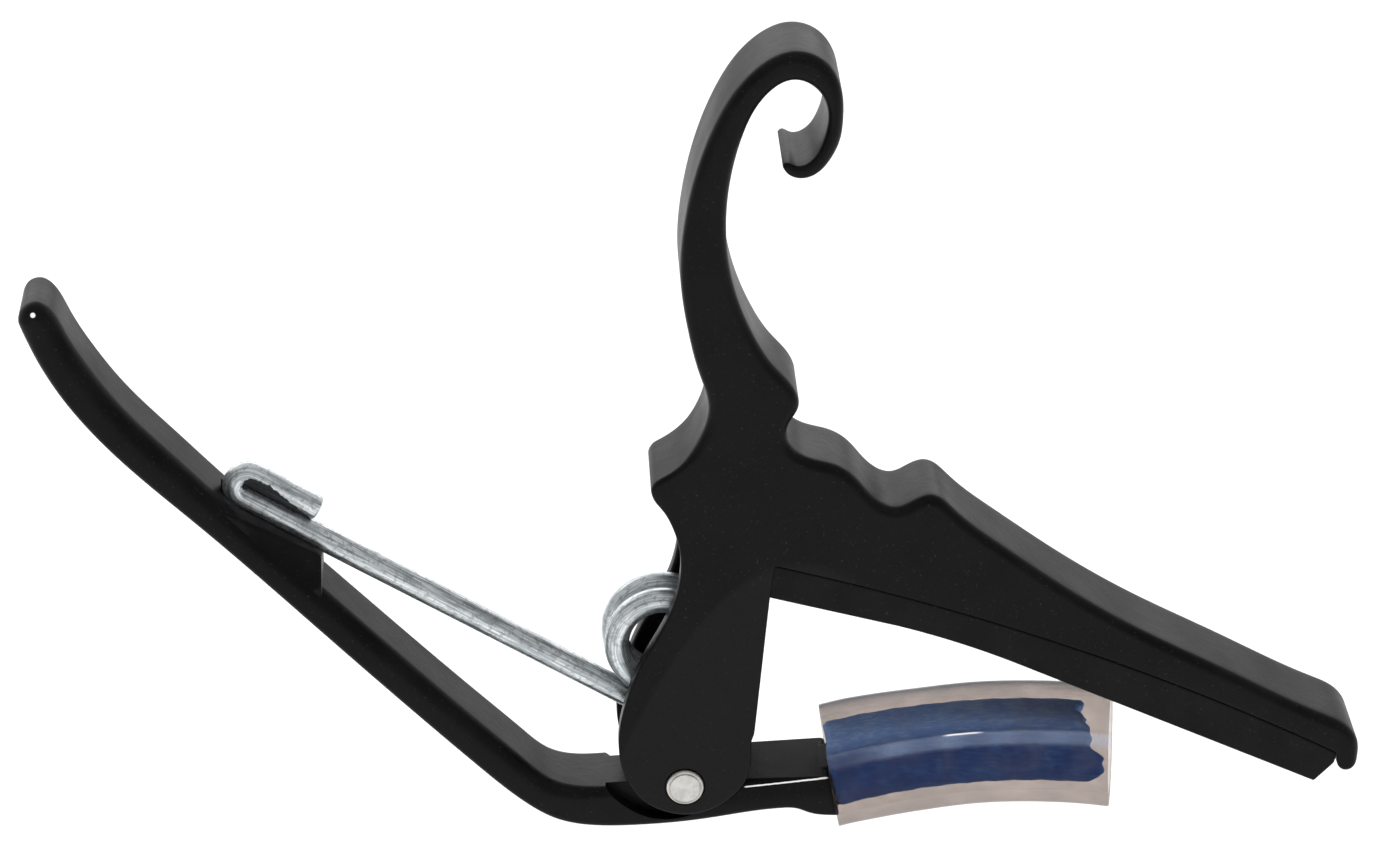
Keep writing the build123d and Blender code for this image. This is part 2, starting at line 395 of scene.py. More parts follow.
def rounded_rows(outline, half, edge, steps=6):
    """Rows of a rounded edge from the wall inward to the flat face, each with its points' depths."""
    normals = inward(outline)
    # no inset reaches the middle of a narrow part, or jumps between neighbouring points
    limit = np.minimum(edge, 0.95 * room(outline, normals))
    limit = np.minimum(limit, softened(limit, 1.0) * 1.05)
    rows = []
    for k in range(steps + 1):
        inset = limit * (1 - np.cos(k * pi / 2 / steps))
        rise = np.sqrt(np.maximum(edge**2 - (edge - inset) ** 2, 0))
        rows.append((outline + normals * inset[:, None], half - edge + rise))
    return rows


def slab(name, outline, half, edge):
    """A plate with rounded edges; edge is one radius or one for each point."""
    shell = Shell()
    edge = np.broadcast_to(edge, len(outline))
    rows = rounded_rows(outline, half, edge)
    front = [shell.add(flat, -depth) for flat, depth in rows]
    back = [shell.add(flat, depth) for flat, depth in rows]
    for side in (front, back):
        shell.skin(side)
        shell.fill(side[-1])
    shell.strip(front[0], back[0])
    return tidy(link(name, shell.mesh(name)))


def apply_modifiers(piece):
    """Replaces the piece's mesh by its modified one."""
    bpy.context.view_layer.update()
    graph = bpy.context.evaluated_depsgraph_get()
    final = bpy.data.meshes.new_from_object(piece.evaluated_get(graph))
    piece.modifiers.clear()
    piece.data = final


def combine(piece, tool, operation):
    """Joins the tool to the piece or cuts it away, both closed meshes, and removes the tool."""
    piece.modifiers.clear()
    tool.modifiers.clear()
    cut = piece.modifiers.new("cut", "BOOLEAN")
    cut.operation = operation
    cut.solver = "EXACT"
    cut.object = tool
    apply_modifiers(piece)
    bpy.data.objects.remove(tool)
    return piece


def prism(name, flat, low, high):
    """A straight prism on an (x, z) loop between two depths."""
    shell = Shell()
    a, b = shell.add(flat, low), shell.add(flat, high)
    shell.strip(a, b)
    shell.fill(a)
    shell.fill(b)
    return tidy(link(name, shell.mesh(name)))


def circle(radius, count):
    turn = np.arange(count) * 2 * pi / count
    return radius * np.stack([np.cos(turn), np.sin(turn)], axis=1)


def eased(value, start, end):
    """0 before start, 1 after end, and smooth between them."""
    share = np.clip((value - start) / (end - start), 0.0, 1.0)
    return share * share * (3 - 2 * share)


def along(point, distance):
    """The point moved along the spring's straight leg, towards its coil."""
    return point[0] + distance * cos(radians(leg_angle)), point[1] - distance * sin(radians(leg_angle))


def beside(point, distance):
    """The point moved square to the spring's straight leg, to its upper right."""
    return point[0] + distance * sin(radians(leg_angle)), point[1] + distance * cos(radians(leg_angle))


def rest_point(x, rise=0.0):
    """A point on the neck rest's curve at this X, or beside it by the rise."""
    across = x - rest_apex[0]
    up = (rest_radius**2 - across**2) ** 0.5
    stretch = (rest_radius + rise) / rest_radius
    return rest_apex[0] + across * stretch, rest_apex[1] - rest_radius + up * stretch


def rest_strip(start, end, half):
    """The loop round a strip of the neck rest's curve."""
    xs = np.linspace(start, end, 60)
    return [rest_point(x, half) for x in xs[::-1]] + [rest_point(x, -half) for x in xs]


# ---- camera ----
camera_place = Vector((-16.357, -461.042, 230.324)) * MM + Vector(PIN)
camera_look = Vector((0.03359, 0.92050, -0.38928))


def aimed(place, look):
    """The matrix of a camera or a lamp at this place that looks along this direction."""
    turn = look.to_track_quat("-Z", "Y")
    return Matrix.Translation(place) @ turn.to_matrix().to_4x4()


lens = bpy.data.cameras.new("camera")
lens.lens = 140.15
lens.sensor_width = 36.0
lens.clip_start = 0.02
lens.clip_end = 20.0
camera = link("camera", lens)
camera.matrix_world = aimed(camera_place, camera_look)
bpy.context.scene.camera = camera


# ---- clamp body ----
def body_edge(outline):
    """Edge rounding of the casting: large on the handle and the bar, small on the leg and the pad's bed."""
    x, z = outline.T
    lower = (z < bar_middle * (lip_top[0] - x)) & (x > 6.0)
    leg = (z < 29.5) & (x < 9.0)
    near_pad = (x > bed_top[0][0]) & (z < np.interp(x, *bed_top))
    edge = np.where(leg | near_pad, leg_edge_radius, handle_edge)
    edge = np.where(near_pad & lower, bed_edge, edge)
    for corner in (curl_tip, nub_top):
        close = np.hypot(x - corner[0], z - corner[1]) < corner_reach
        edge = np.where(close, corner_edge, edge)
    return softened(edge, 4)


def wall_point(outline, height, low, high):
    """The index of the outline's point at this height, between two X."""
    x, z = outline.T
    near = np.flatnonzero((x > low) & (x < high) & (np.abs(z - height) < 1))
    return near[np.argmin(np.abs(z[near] - height))]


body_outline = closed_outline(
    spline(back_edge),
    spline(leg_edge),
    leg_jaw_side,
    arc(pad_corner, bar_underside, lip_top),
    [lip_top, lip_foot],
    arc(lip_foot, lip_round, bar_edge[0], 12),
    spline(bar_edge),
)


def make_body():
    """The casting: rounded front and back, with the gap between the leg's two plates."""
    shell = Shell()
    outline = body_outline
    rows = rounded_rows(outline, body_half, body_edge(outline), 7)
    start = wall_point(outline, slot_top, -np.inf, 3.0)
    stop = wall_point(outline, slot_foot, 5.0, 8.0)
    count = len(outline)
    gap = [(start + k) % count for k in range((stop - start) % count + 1)]
    closed = [(stop + k) % count for k in range((start - stop) % count + 1)]
    share = np.zeros(count)
    for k, i in enumerate(gap):
        share[i] = min(1.0, k / plate_fade, (len(gap) - 1 - k) / plate_fade)
    normals = inward(outline)
    web_low = np.array([leg_jaw_side[1][0] - web_thickness, slot_foot])
    web_high = np.array([leg_jaw_side[2][0] - web_thickness, leg_jaw_side[2][1]])
    bounds = [outline[stop], web_low, web_high, (slot_corner, slot_top), outline[start]]
    inner = []
    for a, b in zip(bounds, bounds[1:]):
        steps = max(2, int(np.linalg.norm(np.array(b) - a) / wall_step))
        inner += [np.array(a) + (np.array(b) - a) * t for t in np.arange(steps) / steps]
    inner = np.array(inner[1:])
    hole_rows = (
        (pin_hole + hole_chamfer, body_half), (pin_hole, body_half - hole_chamfer), (pin_hole, slot_half),
    )
    edges = []
    for side in (-1, 1):
        loops = [shell.add(flat, side * depth) for flat, depth in rows]
        shell.skin(loops)
        holes = [shell.add(circle(r, 64), side * y) for r, y in hole_rows]
        shell.skin(holes)
        shell.fill(loops[-1], holes[0])
        wall = [loops[0]]
        for t in np.linspace(0, pi / 2, 4):
            inset = plate_edge * (1 - np.cos(t)) * share
            depth = slot_half + plate_edge * (1 - np.sin(t))
            wall.append(shell.add(outline + normals * inset[:, None], side * depth))
        shell.skin(wall)
        last = wall[-1]
        bed = shell.add(inner, side * slot_half)
        shell.fill([last[i] for i in gap] + bed, holes[-1])
        edges.append((last, bed))
    (front, front_bed), (back, back_bed) = edges
    shell.strip([front[i] for i in closed], [back[i] for i in closed], closed=False)
    rim_front = [front[stop]] + front_bed + [front[start]]
    rim_back = [back[stop]] + back_bed + [back[start]]
    shell.strip(rim_front, rim_back, closed=False)
    return tidy(link("clamp_casting", shell.mesh("clamp_casting")))


# ---- lever ----
# the lower part of the plates' edge, past which the lever turns
leg_curve = np.array([q for q in spline(leg_edge) if q[1] < 16.0])


def plate_reach(angle):
    """How far the leg's plates reach from the pin in this direction, at any opening of the lever."""
    radius = np.linalg.norm(leg_curve, axis=1)
    heading = np.degrees(np.arctan2(leg_curve[:, 1], leg_curve[:, 0])) % 360
    order = np.argsort(heading)
    turns = np.arange(0, open_angle + 1, 1.0)
    seen = np.interp((angle - turns) % 360, heading[order], radius[order], period=360)
    return seen.max() + plate_clearance


def lever_pocket():
    """The loop that clears the clamp's plates beside the tongue."""
    loop = []
    for angle in np.arange(*pocket_angles):
        r = plate_reach(angle)
        loop.append((r * cos(radians(angle)), r * sin(radians(angle))))
    return np.array([*loop, *pocket_top])


def make_ears():
    """The two ears of the spring's seat as one block, which narrows upward."""
    ears = slab("ears", closed_outline(seat_ears, [seat_ears[0]], corner=0.3), ear_half, 0.3)
    for vertex in ears.data.vertices:
        x, _, z = np.array(vertex.co - Vector(PIN)) / MM
        above = (x - ear_foot[0] + z - ear_foot[1]) / 2**0.5
        vertex.co.y *= 1 - ear_slope * max(above, 0.0)
    return ears


def seat_groove():
    """The loop of the groove between the ears, in which the spring's hook lies."""
    turn = np.radians(np.arange(90, 271, 6) - leg_angle)
    heel = np.array(hook_centre) + seat_radius * np.stack([np.cos(turn), np.sin(turn)], axis=1)
    foot = along(hook_centre, groove_length)
    return np.array([
        *heel, beside(foot, -seat_radius), beside(foot, groove_height), beside(hook_centre, groove_height),
    ])


def make_lever():
    """Handle, tongue and arm in one casting, cut where the clamp's plates turn, with the spring's seat."""
    outline = closed_outline(spline(lever_top), [tongue_end, arm_shoulder], spline(lever_bottom))
    x = outline[:, 0]
    edge = np.interp(x, *lever_edges)
    lower = np.minimum(edge, np.interp(x, *lever_lower_edges))
    edge = np.where(inward(outline)[:, 1] > 0, lower, edge)
    lever = slab("lever_casting", outline, lever_half, softened(edge, 3))
    for side in (-1, 1):
        near, far = sorted((side * tongue_half, side * (lever_half + 1)))
        lever = combine(lever, prism("pocket", lever_pocket(), near, far), "DIFFERENCE")
    lever = combine(lever, slab("boss", circle(tongue_radius, 96), tongue_half, 0.15), "UNION")
    lever = combine(lever, prism("bore", circle(pin_hole, 96), -lever_half, lever_half), "DIFFERENCE")
    lever = combine(lever, make_ears(), "UNION")
    strip = closed_outline(rest_strip(core_start, core_end, core_size[1] / 2))
    lever = combine(lever, slab("core", strip, core_size[0] / 2, 0.8), "UNION")
    neck = slab("neck", closed_outline(arm_neck, [arm_neck[0]], corner=0.2), neck_half, 0.5)
    lever = combine(lever, neck, "UNION")
    return tidy(combine(lever, prism("groove", seat_groove(), -seat_half, seat_half), "DIFFERENCE"))


# ---- string pad, pin ----
def make_pad():
    """The rubber strip under the bar, with its step at the leg."""
    outline = closed_outline(
        arc(pad_corner, bar_underside, lip_top),
        pad_tip,
        [pad_flat_end],
        arc(pad_flat_end, pad_bend, pad_bend_end),
        [pad_root, pad_heel],
        corner=0.12,
    )
    return slab("pad_strip", outline, pad_half, 0.25)


def make_pin():
    """The riveted pin: flat faces with a narrow chamfer, slightly rolled over."""
    shell = Shell()
    profile = [  # radius, and depth below the pin's face
        (1.34, 0.0), (1.40, 0.02), (1.44, 0.08), (1.47, 0.15), (1.53, 0.15), (1.58, 0.1), (1.64, 0.09),
        (1.72, 0.13), (1.78, 0.21), (1.80, 0.32), (1.80, 0.55), (pin_radius, 0.6),
    ]
    rings = [shell.add(circle(r, 96), down - pin_half) for r, down in profile]
    rings += [shell.add(circle(r, 96), pin_half - down) for r, down in profile[::-1]]
    shell.skin(rings)
    shell.fill(rings[0])
    shell.fill(rings[-1])
    return tidy(link("pin_rivet", shell.mesh("pin_rivet")), 30)


# ---- tubes ----
def frames(path):
    """Side and up vectors carried along a path of 3-D points without twist."""
    run = np.gradient(path, axis=0)
    run /= np.linalg.norm(run, axis=1)[:, None]
    side = np.array([0.0, 1.0, 0.0])
    sides = []
    for t in run:
        side = side - t * (side @ t)
        side /= np.linalg.norm(side)
        sides.append(side)
    sides = np.array(sides)
    return run, sides, np.cross(run, sides)


def ring_mesh(name, rings, ends="caps"):
    """A mesh through rings of 3-D points: closed by end caps, or joined end to end into a tube's wall."""
    count = len(rings[0])
    faces = []
    pairs = list(zip(range(len(rings)), range(1, len(rings))))
    if ends == "joined":
        pairs.append((len(rings) - 1, 0))
    for a, b in pairs:
        for i in range(count):
            j = (i + 1) % count
            faces.append((a * count + i, a * count + j, b * count + j, b * count + i))
    if ends == "caps":
        faces.append(tuple(range(count)))
        faces.append(tuple((len(rings) - 1) * count + i for i in range(count)))
    data = bpy.data.meshes.new(name)
    data.from_pydata((np.concatenate(rings) * MM + PIN).tolist(), [], faces)
    return link(name, data)


def point_values(piece, name, values):
    """Stores one number for each vertex under this attribute name."""
    store = piece.data.attributes.new(name, "FLOAT", "POINT")
    store.data.foreach_set("value", np.asarray(values, np.float32).ravel())


def coil_point(angle):
    """The middle of the spring's wire at this angle round the coil."""
    to_front = eased(angle, *coil_to_front)
    to_rear = eased(angle, *coil_to_rear)
    turn_radius = coil_radii[0] + (coil_radii[1] - coil_radii[0]) * to_rear
    radius = leg_offset - (leg_offset - turn_radius) * eased(angle, *coil_closing)
    turned = radians(angle)
    x, z = coil_centre[0] + radius * cos(turned), coil_centre[1] + radius * sin(turned)
    return x, -coil_layer * (to_front - 2 * to_rear), z


def spring_path():
    """The middle of the wire from the hook's open end along the leg and round the coil."""
    top = beside(hook_centre, hook_radius)
    stub = [along(top, d) for d in np.arange(hook_stub, 0.2, -wire_step)]
    turn = np.radians(90 - leg_angle + np.arange(0, 181, 6))
    hook_x, hook_z = hook_centre
    bend = [(hook_x + hook_radius * np.cos(t), hook_z + hook_radius * np.sin(t)) for t in turn]
    foot = np.array(bend[-1])
    coil = [coil_point(a) for a in np.arange(leg_end_angle, coil_end, 3.0)]
    span = np.array([coil[0][0], coil[0][2]]) - foot
    length = np.linalg.norm(span)
    leg = [foot + span * d / length for d in np.arange(wire_step, length - wire_step / 2, wire_step)]
    return np.array([(x, 0.0, z) for x, z in [*stub, *bend, *leg]] + coil)


def make_spring():
    """The wire's hook, straight leg and coil as one swept tube with trimmed ends."""
    path = spring_path()
    run, sides, ups = frames(path)
    turn = np.arange(wire_sides) * 2 * pi / wire_sides
    spokes = [np.outer(np.cos(turn), s) + np.outer(np.sin(turn), u) for s, u in zip(sides, ups)]
    rings = [p + wire_radius * spoke for p, spoke in zip(path, spokes)]
    start = [path[0] - run[0] * past + (wire_radius - cut) * spokes[0] for past, cut in wire_end[::-1]]
    stop = [path[-1] + run[-1] * past + (wire_radius - cut) * spokes[-1] for past, cut in wire_end]
    rings = [*start, *rings, *stop]
    spring = ring_mesh("spring_wire", rings)
    steps = np.linalg.norm(np.diff([ring.mean(0) for ring in rings], axis=0), axis=1)
    lengths = np.concatenate([[0.0], np.cumsum(steps)])
    point_values(spring, "run", np.repeat(lengths, wire_sides))
    point_values(spring, "side", np.tile(np.cos(turn), len(rings)))
    point_values(spring, "rise", np.tile(np.sin(turn), len(rings)))
    # painted shade on the hook's inner side, where the table above puts it
    shade_start = np.interp(lengths, *hook_shade)[:, None]
    point_values(spring, "crook_shade", eased(np.sin(turn)[None, :] - shade_start, 0.0, 0.25))
    return tidy(spring, 50)


def flare(turn, x):
    """How far the sleeve and the liner swell upward near the clamp's leg."""
    return flare_rise * np.clip(np.sin(turn), 0, 1) * (1 - eased(x, rest_start, flare_end))


def make_sleeve():
    """The clear tube over the neck rest, with hand-cut ends and a soft fold where its front is kinked."""
    xs = np.linspace(rest_start, rest_end, 110)
    path = np.array([(x, 0.0, z) for x, z in map(rest_point, xs)])
    run, sides, ups = frames(path)
    degrees = np.union1d(np.arange(0, 360, 2.5), np.arange(fold_lines[0], fold_lines[1] + 0.1, 0.5))
    turn, fold = np.radians(degrees), np.radians(fold_angle)
    # painted highlight: a thin line along the fold
    highlight = np.exp(-(((degrees - fold_angle - 0.3) / 0.8) ** 2))
    # a pale painted highlight strip just below the fold
    strip = eased(degrees, *strip_angles[:2]) * (1 - eased(degrees, *strip_angles[2:]))
    # a painted dark reflection band along the top
    crown_reflection = np.exp(-(((degrees - crown_angle) / crown_width) ** 2))
    ridge = np.exp(-(((turn - fold) / 0.05) ** 2)) - 0.7 * np.exp(-(((turn - fold) / 0.3) ** 2))
    below = np.clip(-np.sin(turn), 0, 1)
    outer, inner, strip_highlight, fold_glint = [], [], [], []
    for x, p, t, s, u in zip(xs, path, run, sides, ups):
        spoke = np.outer(np.cos(turn), s) + np.outer(np.sin(turn), u)
        at_start = 1 - eased(x, rest_start, rest_start + lean_reach)
        at_end = eased(x, rest_end - lean_reach, rest_end)
        lean = start_lean * at_start - end_lean * at_end
        spoke += np.outer(lean * np.sin(turn) + end_yaw * at_end * np.cos(turn), t)
        slack = 0.12 + 0.2 * eased(x, 38.0, rest_end)
        wave = 0.025 * np.sin(3 * turn + x * 0.35) + 0.015 * np.sin(5 * turn - x * 0.6)
        tuck = start_tuck * below * (1 - eased(x, rest_start, tuck_end))
        swell = flare(turn, x)
        outside = sleeve_outer - sleeve_spare - tuck + wave + slack * ridge + swell
        inside = sleeve_inner + 0.5 * wave + 0.6 * slack * ridge + swell
        outer.append(p + outside[:, None] * spoke)
        inner.append(p + inside[:, None] * spoke)
        strip_highlight.append(strip * (0.9 + 0.1 * sin(x * 1.3)) * (0.35 + 0.65 * eased(x, 15.0, 20.0)))
        fold_glint.append(highlight * (eased(x, *glint[:2]) * (1 - eased(x, *glint[2:])) + 0.18))
    ends = []
    for k, past in ((-1, 0.05 * run[-1]), (0, -0.05 * run[0])):
        wall = sleeve_lip * (inner[k] - outer[k]) / (sleeve_outer - sleeve_inner)
        ends.append((outer[k] + wall + past, inner[k] - wall + past))
    (end_lip, end_bore), (start_lip, start_bore) = ends
    rings = [*outer, end_lip, end_bore, *inner[::-1], start_bore, start_lip]
    sleeve = ring_mesh("sleeve_tube", rings, "joined")
    blank = [np.zeros(len(turn))] * (len(rings) - len(xs))
    point_values(sleeve, "strip_highlight", strip_highlight + blank)
    point_values(sleeve, "crown_reflection", [crown_reflection] * len(xs) + blank)
    # the cut rims, which the material paints dark as shade
    rims = {len(xs), len(xs) + 1, len(rings) - 2, len(rings) - 1}
    point_values(sleeve, "rim", [np.full(len(turn), float(i in rims)) for i in range(len(rings))])
    point_values(sleeve, "fold_glint", fold_glint + blank)
    point_values(sleeve, "skin", [np.ones(len(turn))] * len(xs) + blank)
    return tidy(sleeve, 60)


def liner_ring(turn, xs, reaches):
    """A slightly uneven loop round the rest's curve: one point for each angle, X and reach."""
    ring = []
    for a, x, reach in zip(turn, xs, reaches):
        swell = 0.03 * sin(2.1 * x + 2 * a) + 0.015 * sin(4.7 * x - 3 * a) + 0.015 * sin(9.1 * x + 5 * a)
        cx, cz = rest_point(x)
        nx, nz = np.array(rest_point(x, 1.0)) - (cx, cz)
        wide = reach + swell + flare(a, x)
        rise = wide * sin(a) + liner_lift
        ring.append((cx + nx * rise, wide * cos(a), cz + nz * rise))
    return np.array(ring)


def rounded_box_reach(turn):
    """How far the liner's rounded rectangle reaches from its middle at each angle."""
    half = np.array(liner_size) / 2
    inner = half - liner_corner
    reach = []
    for c, s in zip(np.cos(turn), np.sin(turn)):
        r = np.linspace(0, 8, 1600)
        gap = np.maximum(np.abs(np.outer(r, (c, s))) - inner, 0)
        reach.append(r[np.argmax(np.linalg.norm(gap, axis=1) > liner_corner)])
    return softened(np.array(reach), 1.5)


def make_liner():
    """The soft cover on the lever's arm, with hand-cut ends and a lobe at its open end."""
    turn = np.arange(160) * 2 * pi / 160
    ragged = 0.55 * np.sin(3 * turn + 0.6) + 0.3 * np.sin(7 * turn + 2.0) + 0.16 * np.sin(17 * turn)
    lobe = eased(turn, 2.72, 3.15) * (1 - eased(turn, 3.45, 4.15))
    stop = liner_end - liner_cut + lobe_length * lobe + 0.6 * ragged
    lean = start_lean * liner_size[1] / 2 * np.sin(turn)
    begin = rest_start + 0.1 + 0.06 * np.sin(4 * turn + 1.0) + lean
    reach = rounded_box_reach(turn)
    rings = []
    for share in np.linspace(0, 1, 90):
        soft = 0.35 * (1 - np.clip(min(share, 1 - share) / 0.02, 0, 1)) ** 2
        rings.append(liner_ring(turn, begin + (stop - begin) * share, reach - liner_spare - soft))
    recess = liner_end - liner_cut - 0.1
    # the open end steps back behind the lobe: the ring's size, and how much of the ragged edge it keeps
    for size, keep in ((0.86, 0.97), (0.74, 0.6), (0.7, 0.1), (0.35, 0.0)):
        rings.append(liner_ring(turn, recess + (stop - recess) * keep, size * reach))
    liner = ring_mesh("liner_cover", rings)
    # marks the cover's top, which its material paints lighter as if lit from above
    point_values(liner, "top", np.tile(np.clip((np.sin(turn) - 0.5) / 0.3, 0, 1), len(rings)))
    return tidy(liner, 60)


# ---- materials ----
class Look:
    """A material whose nodes are added one by one around its Principled shader. Lengths are in mm."""

    def __init__(self, name, colour, roughness, level=0.5, metallic=0.0):
        self.material = bpy.data.materials.new(name)
        self.material.use_nodes = True
        self.tree = self.material.node_tree
        self.shader = self.tree.nodes["Principled BSDF"]
        self.set("Base Color", (*colour, 1))
        self.set("Roughness", roughness)
        self.set("Metallic", metallic)
        self.set("Specular IOR Level", level)
        spot = self.tree.nodes.new("ShaderNodeTexCoord").outputs["Object"]
        self.place = self.vector("SCALE", spot, scale=1 / MM)
        self.about_pin = self.vector("SUBTRACT", self.place, tuple(PIN / MM))

    def set(self, socket, value):
        self.shader.inputs[socket].default_value = value

    def give(self, socket, value):
        """Sets an input to a value, or links it to another node's output."""
        if isinstance(value, bpy.types.NodeSocket):
            self.tree.links.new(value, socket)
        else:
            socket.default_value = value

    def vector(self, operation, a, b=None, scale=None):
        node = self.tree.nodes.new("ShaderNodeVectorMath")
        node.operation = operation
        self.give(node.inputs[0], a)
        if b is not None:
            self.give(node.inputs[1], b)
        if scale is not None:
            node.inputs["Scale"].default_value = scale
        return node.outputs["Value" if operation in ("DOT_PRODUCT", "LENGTH", "DISTANCE") else "Vector"]

    def math(self, operation, *values, clamp=False):
        node = self.tree.nodes.new("ShaderNodeMath")
        node.operation = operation
        node.use_clamp = clamp
        for socket, value in zip(node.inputs, values):
            self.give(socket, value)
        return node.outputs[0]

    def times(self, a, b):
        return self.math("MULTIPLY", a, b)

    def plus(self, a, b, clamp=False):
        return self.math("ADD", a, b, clamp=clamp)

    def minus(self, a, b):
        return self.math("SUBTRACT", a, b)

    def total(self, *parts):
        """The sum of values, each times its weight."""
        whole, *rest = [self.times(value, weight) for value, weight in parts]
        for part in rest:
            whole = self.plus(whole, part)
        return whole

    def noise(self, scale, detail=3.0, rough=0.5, stretch=(1.0, 1.0, 1.0), place=None):
        """Noise from 0 to 1, with this many features in a millimetre."""
        node = self.tree.nodes.new("ShaderNodeTexNoise")
        self.give(node.inputs["Vector"], self.vector("MULTIPLY", place or self.place, stretch))
        node.inputs["Scale"].default_value = scale
        node.inputs["Detail"].default_value = detail
        node.inputs["Roughness"].default_value = rough
        return node.outputs["Fac"]

    def step(self, value, low, high, start=0.0, end=1.0):
        """Runs smoothly from start to end as the value goes from low to high."""
        node = self.tree.nodes.new("ShaderNodeMapRange")
        node.interpolation_type = "SMOOTHSTEP"
        for socket, v in zip(node.inputs, (value, low, high, start, end)):
            self.give(socket, v)
        return node.outputs[0]

    def mix(self, share, a, b):
        node = self.tree.nodes.new("ShaderNodeMix")
        node.data_type = "RGBA"
        self.give(node.inputs[0], share)
        self.give(node.inputs[6], a if isinstance(a, bpy.types.NodeSocket) else (*a, 1))
        self.give(node.inputs[7], b if isinstance(b, bpy.types.NodeSocket) else (*b, 1))
        return node.outputs[2]

    def attribute(self, name):
        node = self.tree.nodes.new("ShaderNodeAttribute")
        node.attribute_name = name
        return node.outputs["Fac"]

    def link(self, socket, value):
        self.tree.links.new(value, self.shader.inputs[socket])

    def bump(self, height, distance, strength):
        """Relief from a height between 0 and 1, this many millimetres deep."""
        node = self.tree.nodes.new("ShaderNodeBump")
        node.inputs["Strength"].default_value = strength
        node.inputs["Distance"].default_value = distance * MM
        self.give(node.inputs["Height"], height)
        self.link("Normal", node.outputs["Normal"])

    def near(self, point, radius, soft):
        """1 within this distance of a point given about the pin, 0 farther away."""
        return self.step(self.vector("DISTANCE", self.about_pin, point), radius, radius + soft, 1.0, 0.0)


PAINT_DARK = (0.0012, 0.0010, 0.0013)
PAINT_LIGHT = (0.0030, 0.0026, 0.0031)
SPECK = (0.05, 0.05, 0.052)
# painted highlights on the lever: their white, the ends of a bright line along the arm's front edge, and a
# spot near the handle's tip
HIGHLIGHT_WHITE = (0.9, 0.9, 0.88)
arm_highlight_line = ((5.6, -0.42), (13.3, 0.36))  # X and Z of the arm's bright edge
tip_highlight_place = (-59.62, -4.35, 48.95)


def paint(name):
    """Satin black powder coat: orange peel, fine light specks and uneven sheen."""
    look = Look(name, PAINT_DARK, 0.4, 0.12)
    peel = look.noise(1.3, 2.0)
    grain = look.noise(7.0, 3.0, 0.65)
    cloud = look.noise(0.16, 4.0, 0.6)
    speck = look.step(look.noise(4.5, 1.0), 0.69, 0.77)
    colour = look.mix(look.step(cloud, 0.35, 0.65), PAINT_DARK, PAINT_LIGHT)
    colour = look.mix(look.times(speck, 0.35), colour, SPECK)
    rough = look.step(look.total((cloud, 0.6), (grain, 0.4)), 0.3, 0.7, 0.34, 0.46)
    look.bump(look.total((peel, 0.8), (grain, 0.35)), 0.03, 0.8)
    return look, colour, rough


def clamp_paint():
    look, colour, rough = paint("clamp_powder_coat")
    split = look.tree.nodes.new("ShaderNodeSeparateXYZ")
    look.give(split.inputs[0], look.about_pin)
    # the leg's lower part is a little greyer, below a line that falls away from the pad's corner
    away = look.minus(pad_corner[0], split.outputs[0])
    drop = look.total((away, 0.32), (look.math("POWER", away, 2.0), 0.07))
    line = look.minus(pad_corner[1], drop)
    zone = look.step(look.minus(line, split.outputs[2]), -0.4, 0.8)
    colour = look.mix(look.times(zone, 0.35), colour, (0.012, 0.0118, 0.0125))
    look.link("Base Color", colour)
    look.link("Roughness", rough)
    return look.material


def lever_paint():
    look, colour, rough = paint("lever_powder_coat")
    # painted highlights: a bright line along the arm's front edge and a small bright spot near the handle's
    # tip, both a little metallic
    start, end = (Vector(q) for q in arm_highlight_line)
    run = (end - start).normalized()
    from_start = look.vector("SUBTRACT", look.about_pin, (start.x, 0, start.y))
    across = look.vector("DOT_PRODUCT", from_start, (-run.y, 0, run.x))
    ahead = look.vector("DOT_PRODUCT", from_start, (run.x, 0, run.y))
    depth = look.vector("DOT_PRODUCT", look.about_pin, (0, -1, 0))
    ragged = look.times(look.minus(look.noise(2.5, 3.0), 0.5), 0.08)
    line = look.step(look.math("ABSOLUTE", look.plus(across, ragged)), 0.05, 0.09, 1.0, 0.0)
    line = look.times(line, look.step(ahead, 0.0, 0.3))
    line = look.times(line, look.step(depth, 4.2, 4.28))
    tip_highlight = look.near(tip_highlight_place, 0.22, 0.09)
    # painted highlight: the line and the spot together
    painted_highlight = look.math("MAXIMUM", line, tip_highlight)
    look.link("Base Color", look.mix(painted_highlight, colour, HIGHLIGHT_WHITE))
    look.link("Metallic", look.times(painted_highlight, 0.35))
    arm = look.times(look.step(ahead, -4.0, -1.0), look.step(across, -2.5, -1.0))
    rough = look.plus(rough, look.times(arm, 0.25))
    look.link("Roughness", look.mix(painted_highlight, rough, (0.5, 0.5, 0.5)))
    return look.material


def rubber():
    look = Look("pad_black_rubber", (0.004, 0.004, 0.005), 0.6, 0.14)
    cloud = look.noise(0.3, 4.0, 0.6)
    grain = look.noise(9.0, 3.0, 0.7)
    dust = look.step(look.noise(3.0, 2.0), 0.66, 0.74)
    colour = look.mix(look.step(cloud, 0.3, 0.7), (0.0025, 0.0024, 0.003), (0.0048, 0.0046, 0.0056))
    look.link("Base Color", look.mix(look.times(dust, 0.25), colour, (0.05, 0.05, 0.055)))
    look.link("Roughness", look.step(grain, 0.3, 0.7, 0.52, 0.68))
    look.bump(grain, 0.02, 0.7)
    return look.material


